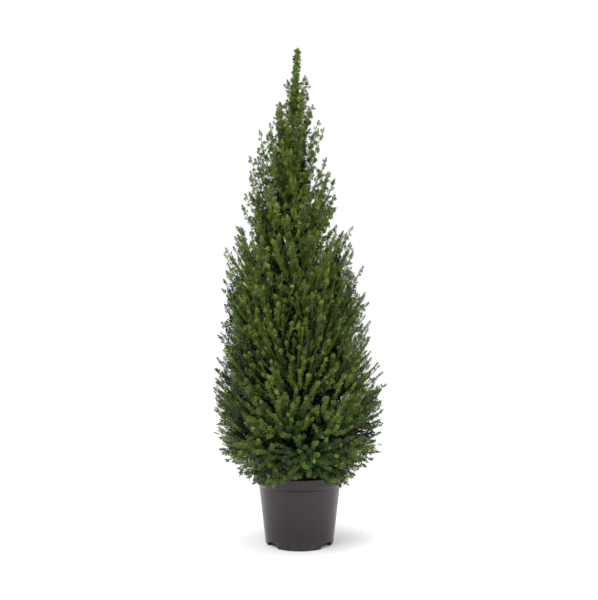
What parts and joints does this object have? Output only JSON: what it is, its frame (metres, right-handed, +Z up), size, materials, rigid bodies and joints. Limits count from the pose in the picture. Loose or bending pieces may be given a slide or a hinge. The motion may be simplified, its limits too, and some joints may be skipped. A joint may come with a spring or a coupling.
{
  "type": "potted alberta spruce",
  "caption": "Dwarf Alberta spruce, a dense dark green cone of short erect needled shoots with a slim leader, standing in a round dark grey plastic nursery pot.",
  "frame": {"origin": "centre of the pot's flat underside, on the ground", "axes": "+Z up along the pot's axis; the plant's front faces -Y, +X to its right as seen from the front"},
  "size_m": [0.4217, 0.4316, 1.284],
  "materials": {
    "pot_plastic": "satin injection-moulded polypropylene, dark warm grey",
    "potting_soil": "dark bark and peat compost, matt and crumbly",
    "bark": "thin scaly grey-brown bark",
    "needles": "matt green needles, lighter yellow-green at the shoot tips"
  },
  "bodies": {
    "root": {"pot": "pot_plastic", "soil": "potting_soil", "trunk": "bark", "bough_t1_1": "bark", "foliage_t1_1": "needles", "bough_t1_2": "bark", "foliage_t1_2": "needles", "bough_t1_3": "bark", "foliage_t1_3": "needles", "bough_t1_4": "bark", "foliage_t1_4": "needles", "bough_t1_5": "bark", "foliage_t1_5": "needles", "bough_t1_6": "bark", "foliage_t1_6": "needles", "bough_t2_1": "bark", "foliage_t2_1": "needles", "bough_t2_2": "bark", "foliage_t2_2": "needles", "bough_t2_3": "bark", "foliage_t2_3": "needles", "bough_t2_4": "bark", "foliage_t2_4": "needles", "bough_t2_5": "bark", "foliage_t2_5": "needles", "bough_t2_6": "bark", "foliage_t2_6": "needles", "bough_t3_1": "bark", "foliage_t3_1": "needles", "bough_t3_2": "bark", "foliage_t3_2": "needles", "bough_t3_3": "bark", "foliage_t3_3": "needles", "bough_t3_4": "bark", "foliage_t3_4": "needles", "bough_t3_5": "bark", "foliage_t3_5": "needles", "bough_t4_1": "bark", "foliage_t4_1": "needles", "bough_t4_2": "bark", "foliage_t4_2": "needles", "bough_t4_3": "bark", "foliage_t4_3": "needles", "bough_t4_4": "bark", "foliage_t4_4": "needles", "bough_t4_5": "bark", "foliage_t4_5": "needles", "foliage_t5_1": "needles", "foliage_t5_2": "needles", "foliage_t5_3": "needles", "foliage_t5_4": "needles", "foliage_t6_1": "needles", "foliage_t6_2": "needles", "foliage_t6_3": "needles", "foliage_t7_1": "needles", "foliage_t7_2": "needles", "foliage_t7_3": "needles", "foliage_leader": "needles"}
  },
  "joints": []
}
